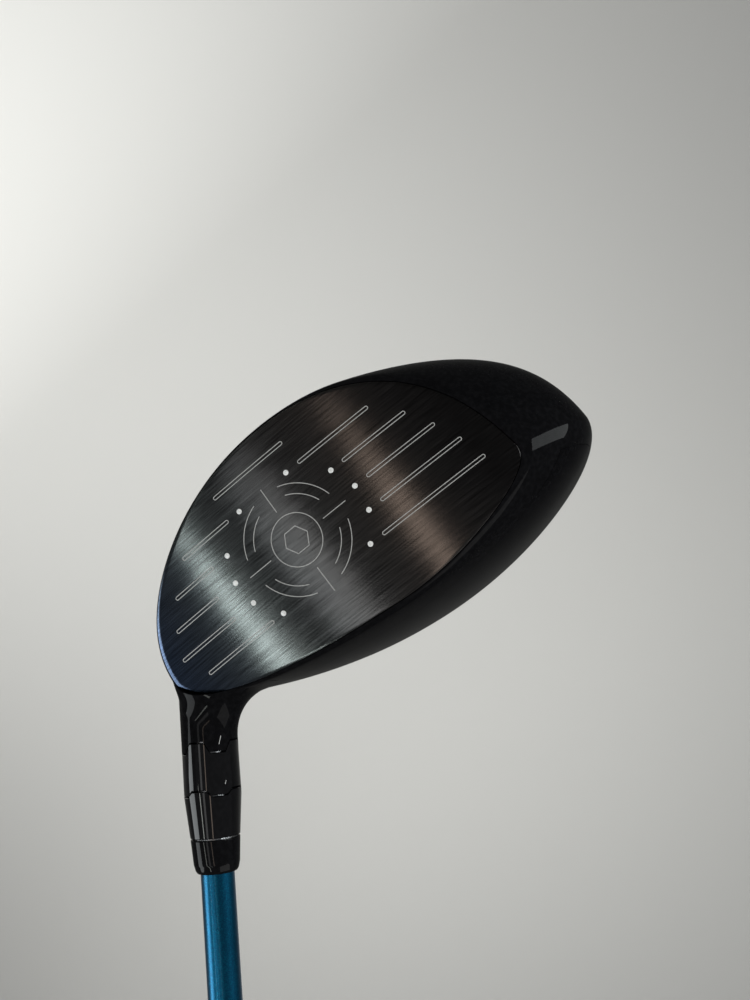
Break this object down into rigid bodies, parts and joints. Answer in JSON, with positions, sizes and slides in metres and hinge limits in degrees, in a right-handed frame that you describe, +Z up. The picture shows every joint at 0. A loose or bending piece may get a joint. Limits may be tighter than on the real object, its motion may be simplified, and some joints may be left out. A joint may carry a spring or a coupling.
{
  "type": "golf driver",
  "caption": "Right-handed golf driver with a hollow metal head, an adjustable toothed shaft sleeve, a tapered blue shaft and a rubber grip.",
  "frame": {"origin": "centre of the flat sole pad, where the head touches the ground at address, 22 mm behind the middle of the face", "axes": "+Z up; -Y is where the face looks, towards the target; +X from toe to heel, the way the shaft leans, 30 degrees off vertical"},
  "size_m": [0.6773, 0.1205, 0.9957],
  "materials": {
    "gloss_black": "gloss black paint with clear coat over a cast titanium shell",
    "crown_black": "gloss black lacquer over a thin composite crown",
    "face_metal": "dark ion-plated titanium, brushed from heel to toe, with fine etched score lines",
    "adapter_black": "satin-gloss black anodised",
    "ferrule_black": "turned and polished black plastic",
    "bare_alloy": "machined alloy",
    "port_metal": "dark anodised, finely turned",
    "weight_steel": "turned stainless steel",
    "dark_steel": "black-oxide steel with bright socket edges",
    "shaft_blue": "metallic blue lacquer over a graphite tube",
    "cork": "plain cork",
    "tape": "paper tape",
    "grip_rubber": "matt rubber with a fine moulded pattern",
    "cap_rubber": "matt rubber"
  },
  "bodies": {
    "club": {"shaft": "shaft_blue", "shaft_sleeve": "bare_alloy", "sleeve_insert": "dark_steel", "tip_plug": "cork", "ferrule": "ferrule_black", "grip_tape": "tape", "grip": "grip_rubber", "grip_cap": "cap_rubber"},
    "loft_cog": {"loft_cog": "adapter_black"},
    "lie_cog": {"lie_cog": "adapter_black"},
    "head": {"head_body": "gloss_black", "crown_shell": "crown_black", "face_plate": "face_metal", "weight_port": "port_metal", "hosel_tube": "bare_alloy", "screw_retaining_ring": "dark_steel", "screw_washer": "weight_steel"},
    "hosel_screw": {"hosel_screw": "dark_steel"},
    "rear_weight": {"rear_weight": "weight_steel"},
    "weight_screw": {"weight_screw": "dark_steel"}
  },
  "joints": [
    {"name": "head_pull", "type": "slide", "parent": "club", "child": "head", "axis": [-0.5, 0, -0.866], "range_m": [0, 0.036]},
    {"name": "loft_cog_slide", "type": "slide", "parent": "club", "child": "loft_cog", "axis": [-0.5, 0, -0.866], "range_m": [0, 0.012]},
    {"name": "lie_cog_slide", "type": "slide", "parent": "club", "child": "lie_cog", "axis": [-0.5, 0, -0.866], "range_m": [0, 0.006]},
    {"name": "hosel_screw_turn", "type": "hinge", "parent": "head", "child": "hosel_screw", "pos_m": [0.033, -0.0088, 0.01732], "axis": [0.5, 0, 0.866], "continuous": true},
    {"name": "rear_weight_out", "type": "slide", "parent": "head", "child": "rear_weight", "axis": [0, 0.3621, -0.9322], "range_m": [0, 0.014]},
    {"name": "weight_screw_turn", "type": "hinge", "parent": "rear_weight", "child": "weight_screw", "pos_m": [-0.00661, 0.074, 0.01028], "axis": [0, 0.3621, -0.9322], "continuous": true}
  ],
  "couplings": [
    {"joint": "loft_cog_slide", "follows": "head_pull", "ratio": 0.33333},
    {"joint": "lie_cog_slide", "follows": "head_pull", "ratio": 0.16667}
  ]
}
